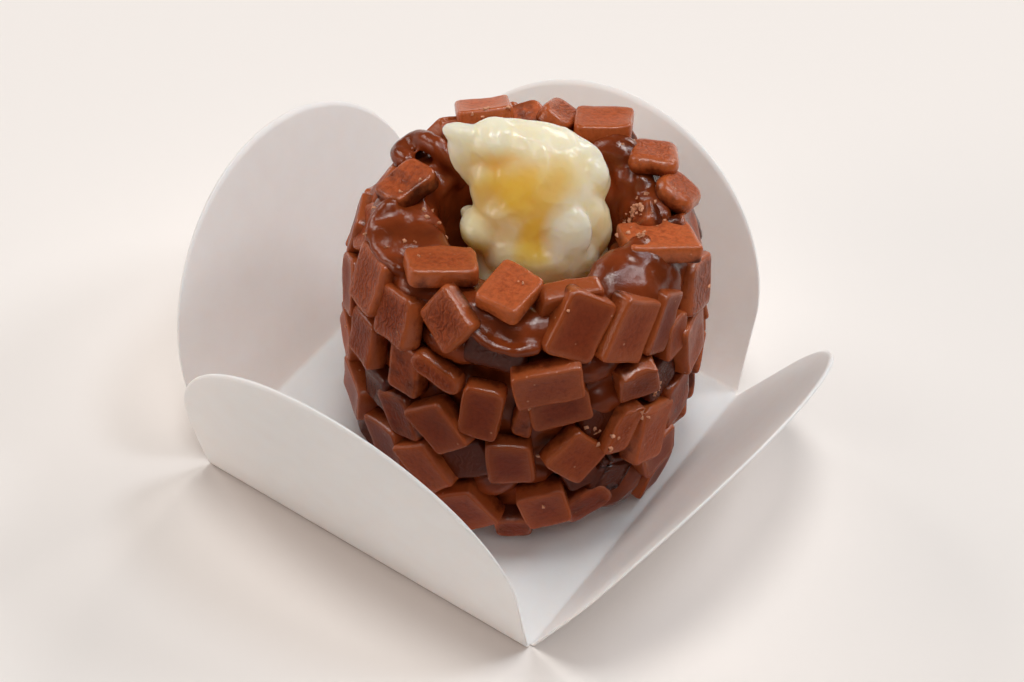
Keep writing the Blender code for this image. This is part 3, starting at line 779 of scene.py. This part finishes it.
def makeCreamFinish():
    # Condensed-milk cream: thick, wet and translucent, ivory where it is whipped thin, and painted amber
    # in its folds and low down, a painted glow and shade for the light that goes deep.
    finish, shader = newMaterial("condensed milk cream")
    place = addNode(finish, "ShaderNodeTexCoord").outputs["Object"]
    paintedAmberGlow = addNode(finish, "ShaderNodeAttribute", {"attribute_name": "paintedAmberGlow"}).outputs["Fac"]
    cloud = addNode(finish, "ShaderNodeTexNoise", {}, {"Vector": place, "Scale": 1 / (2.5 * mm), "Detail": 3})
    fine = addNode(finish, "ShaderNodeTexNoise", {}, {"Vector": place, "Scale": 1 / (0.7 * mm), "Detail": 4})
    pale = addNode(finish, "ShaderNodeMix", {"data_type": "RGBA"}, {0: cloud.outputs["Fac"], 6: srgb("FFEEDC"),
                                                                    7: srgb("FFE3C0")})
    # Painted glow and shade: the painted mask turns the ivory amber in the hollows and low down.
    tone = addNode(finish, "ShaderNodeMix", {"data_type": "RGBA"}, {0: paintedAmberGlow, 6: pale.outputs[2],
                                                                    7: srgb("FFCA58")})
    bump = addNode(finish, "ShaderNodeBump", {}, {"Height": fine.outputs["Fac"], "Strength": 0.3,
                                                  "Distance": 0.1 * mm})
    connect(finish, tone.outputs[2], shader.inputs["Base Color"])
    connect(finish, bump.outputs["Normal"], shader.inputs["Normal"])
    shader.inputs["Roughness"].default_value = 0.22
    shader.inputs["IOR"].default_value = 1.42
    shader.inputs["Subsurface Weight"].default_value = 1
    shader.inputs["Subsurface Radius"].default_value = (1.0, 0.82, 0.5)
    shader.inputs["Subsurface Scale"].default_value = 5 * mm
    return finish


def farFrom(point, middle, radii):    # 1 on the ellipsoid
    return Vector([(point[k] - middle[k]) / radii[k] for k in range(3)]).length


def makeFilling():
    bm = bmesh.new()
    rim = Matrix.Translation(leaning(Vector((0, 0, barrel["height"] - 1 * mm)))) @ turnAbout("Z", cream["facing"])
    forward = Matrix.Diagonal((1, -1, 1, 1))    # the lists say how far forward, which is -Y
    for place, radii, raised, back in cream["lobes"]:
        at = (rim @ Matrix.Translation(forward @ Vector(place) * mm) @ turnAbout("X", -back)
              @ turnAbout("Y", raised))
        ellipsoid(bm, at, Vector(radii) * mm, 4)
    bm = remeshed(bm, cream["voxel"], cream["softening"])
    bm.normal_update()
    paintedAmberGlow = bm.verts.layers.float.new("paintedAmberGlow")
    upright = rim.inverted()
    for vert in bm.verts:
        local = forward @ (upright @ vert.co) / mm
        # Painted glow and shade: amber in the hollows under the overhang, more towards the bottom, and none on the
        # pale tongue.
        away = min(farFrom(local, *hollow) for hollow in cream["glowHollows"])
        away += noise.noise(vert.co / cream["glowNoiseSize"]) * 0.35
        deep = max(0, min(1, (1.1 - away) / 0.9))
        low = max(0, min(0.42, (4 - local.z) / 8))
        pale = max(0, min(1, (1.1 - farFrom(local, *cream["tongue"])) / 0.5))
        vert[paintedAmberGlow] = max(deep * deep * (3 - 2 * deep), low) * (1 - pale)
        ridge = 1 - 2 * abs(noise.noise(vert.co / cream["foldSize"]))
        crease = abs(noise.noise(vert.co / cream["creaseSize"]))
        vert.co += vert.normal * ((ridge - 0.7) * cream["fold"] - crease * cream["crease"])
    piece = addPiece("creamFilling", bm, makeCreamFinish(), "milk_cream", "filling")
    print("filling made,", len(piece.data.polygons), "faces")
    return piece


# Studio

studio = {
    "floor": 900 * mm,
    "azimuth": 32.0,               # where the camera stands, as the barrel's angles
    "elevation": 47.6,
    "distance": 204.4 * mm,
    "right": 2.7 * mm,             # from the middle of the case's floor to what it looks at
    "up": 8.2 * mm,
    "roll": 2.9,
    "lens": 77.0,
    "world": 0.05,
}


def makeCamera():
    azimuth, elevation = math.radians(studio["azimuth"]), math.radians(studio["elevation"])
    back = Vector((math.sin(azimuth) * math.cos(elevation), -math.cos(azimuth) * math.cos(elevation),
                   math.sin(elevation)))
    right = Vector((math.cos(azimuth), math.sin(azimuth), 0))
    up = back.cross(right)
    lens = bpy.data.cameras.new("camera")
    lens.lens = studio["lens"]
    lens.clip_start = 1 * mm
    lens.clip_end = 10
    camera = bpy.data.objects.new("camera", lens)
    frameOf = Matrix((right, up, back)).transposed().to_4x4() @ turnAbout("Z", studio["roll"])
    frameOf.translation = back * studio["distance"] + right * studio["right"] + up * studio["up"]
    camera.matrix_world = frameOf
    bpy.context.scene.collection.objects.link(camera)
    bpy.context.scene.camera = camera


def makeFloor():
    bm = bmesh.new()
    low = cadLow.z - 0.02 * mm
    bmesh.ops.create_grid(bm, x_segments=1, y_segments=1, size=studio["floor"] / 2,
                          matrix=Matrix.Translation((0, 0, low)))
    mesh = bpy.data.meshes.new("floor")
    bm.to_mesh(mesh)
    bm.free()
    paper, shader = newMaterial("white studio paper")
    shader.inputs["Base Color"].default_value = srgb("F2EEEA")
    shader.inputs["Roughness"].default_value = 1
    shader.inputs["Specular IOR Level"].default_value = 0
    mesh.materials.append(paper)
    floor = bpy.data.objects.new("floor", mesh)
    bpy.context.scene.collection.objects.link(floor)


def makeLight(name, angle, elevation, distance, size, power, tint):
    light = bpy.data.lights.new(name, "AREA")
    light.shape = "DISK"
    light.size = size
    light.energy = power
    light.color = srgb(tint)[:3]
    lamp = bpy.data.objects.new(name, light)
    way = Vector((math.sin(math.radians(angle)) * math.cos(math.radians(elevation)),
                  -math.cos(math.radians(angle)) * math.cos(math.radians(elevation)),
                  math.sin(math.radians(elevation))))
    lamp.location = way * distance
    lamp.rotation_euler = way.to_track_quat("Z", "Y").to_euler()
    bpy.context.scene.collection.objects.link(lamp)


def makeStudio():
    makeFloor()
    makeCamera()
    makeLight("top softbox", 0, 89, 1500 * mm, 400 * mm, 7.6, "FFFDFA")
    makeLight("window", 180, 25, 1500 * mm, 600 * mm, 6.0, "FFF8F3")
    makeLight("side softbox", 135, 65, 1500 * mm, 300 * mm, 3.2, "EEF6FF")
    makeLight("low side softbox", 135, 40, 1500 * mm, 350 * mm, 4.0, "FBFCFF")
    makeLight("reflector", 45, 62, 1500 * mm, 500 * mm, 2.9, "FFF8F5")
    makeLight("wall", -45, 15, 1500 * mm, 600 * mm, 4.6, "FFECDF")
    makeLight("far wall", -90, 35, 1500 * mm, 600 * mm, 4.6, "FFFAF6")
    world = bpy.data.worlds.new("studio")
    world.use_nodes = True
    sky = world.node_tree.nodes["Background"]
    sky.inputs["Color"].default_value = srgb("FFF0E8")
    sky.inputs["Strength"].default_value = studio["world"]
    bpy.context.scene.world = world
    bpy.context.scene.view_settings.view_transform = "Standard"


makeCase()
barrelPieces = makeFudge(), makeBlocks()
makeCrumbs(*barrelPieces)
makeFilling()
makeStudio()
